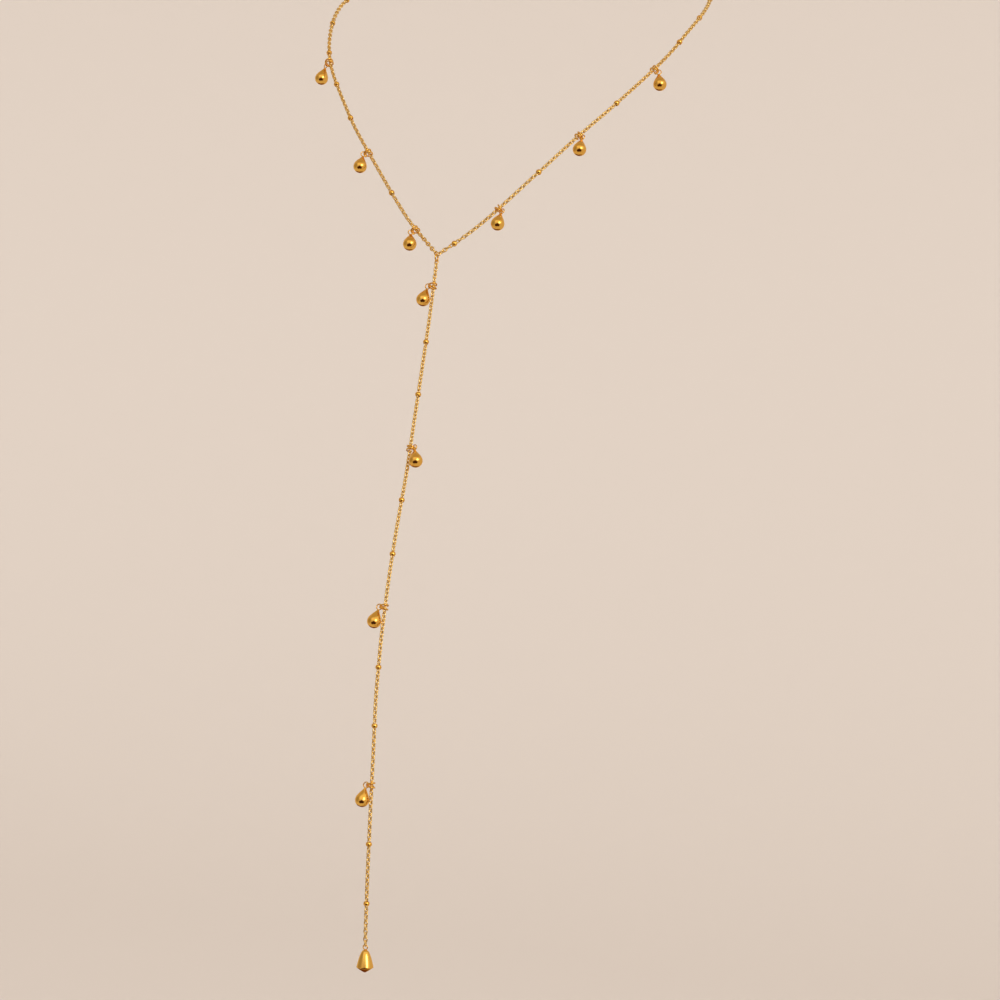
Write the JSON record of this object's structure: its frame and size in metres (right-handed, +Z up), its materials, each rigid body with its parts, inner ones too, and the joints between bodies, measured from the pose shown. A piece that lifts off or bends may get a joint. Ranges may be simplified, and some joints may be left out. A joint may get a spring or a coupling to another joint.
{
  "type": "lariat necklace",
  "caption": "Y-shaped fine chain necklace with a long tail, small round beads along the chain, small pear drops on two-turn rings and a larger drop at the tail's end",
  "frame": {"origin": "at the nape, in the middle of the clasp, where the loop hangs on the back of the neck", "axes": "+Z up, -Y towards the wearer's front, +X at the right of a person who looks at that front"},
  "size_m": [0.1079, 0.1866, 0.2595],
  "materials": {
    "gold": "polished"
  },
  "bodies": {
    "necklace": {"neck_chain_right": "gold", "neck_chain_left": "gold", "tail_chain": "gold", "junction_ring": "gold", "clasp": "gold", "right_bead_1": "gold", "right_bead_2": "gold", "right_bead_3": "gold", "right_bead_4": "gold", "right_bead_5": "gold", "right_bead_6": "gold", "right_bead_7": "gold", "right_bead_8": "gold", "right_bead_9": "gold", "left_bead_1": "gold", "left_bead_2": "gold", "left_bead_3": "gold", "left_bead_4": "gold", "left_bead_5": "gold", "left_bead_6": "gold", "left_bead_7": "gold", "left_bead_8": "gold", "left_bead_9": "gold", "left_bead_10": "gold", "tail_bead_1": "gold", "tail_bead_2": "gold", "tail_bead_3": "gold", "tail_bead_4": "gold", "tail_bead_5": "gold", "tail_bead_6": "gold", "tail_bead_7": "gold", "tail_bead_8": "gold", "right_ring_1": "gold", "right_ring_2": "gold", "right_ring_3": "gold", "left_ring_1": "gold", "left_ring_2": "gold", "left_ring_3": "gold", "tail_ring_1": "gold", "tail_ring_2": "gold", "tail_ring_3": "gold", "tail_ring_4": "gold", "right_drop_1": "gold", "right_drop_2": "gold", "right_drop_3": "gold", "left_drop_1": "gold", "left_drop_2": "gold", "left_drop_3": "gold", "tail_drop_1": "gold", "tail_drop_2": "gold", "tail_drop_3": "gold", "tail_drop_4": "gold"},
    "end_drop": {"end_drop": "gold"}
  },
  "joints": [
    {"name": "end_drop_swing", "type": "hinge", "parent": "necklace", "child": "end_drop", "pos_m": [0.00603, -0.18272, -0.25142], "axis": [0, 0.998, -0.0632], "range_deg": [-60, 60]}
  ]
}
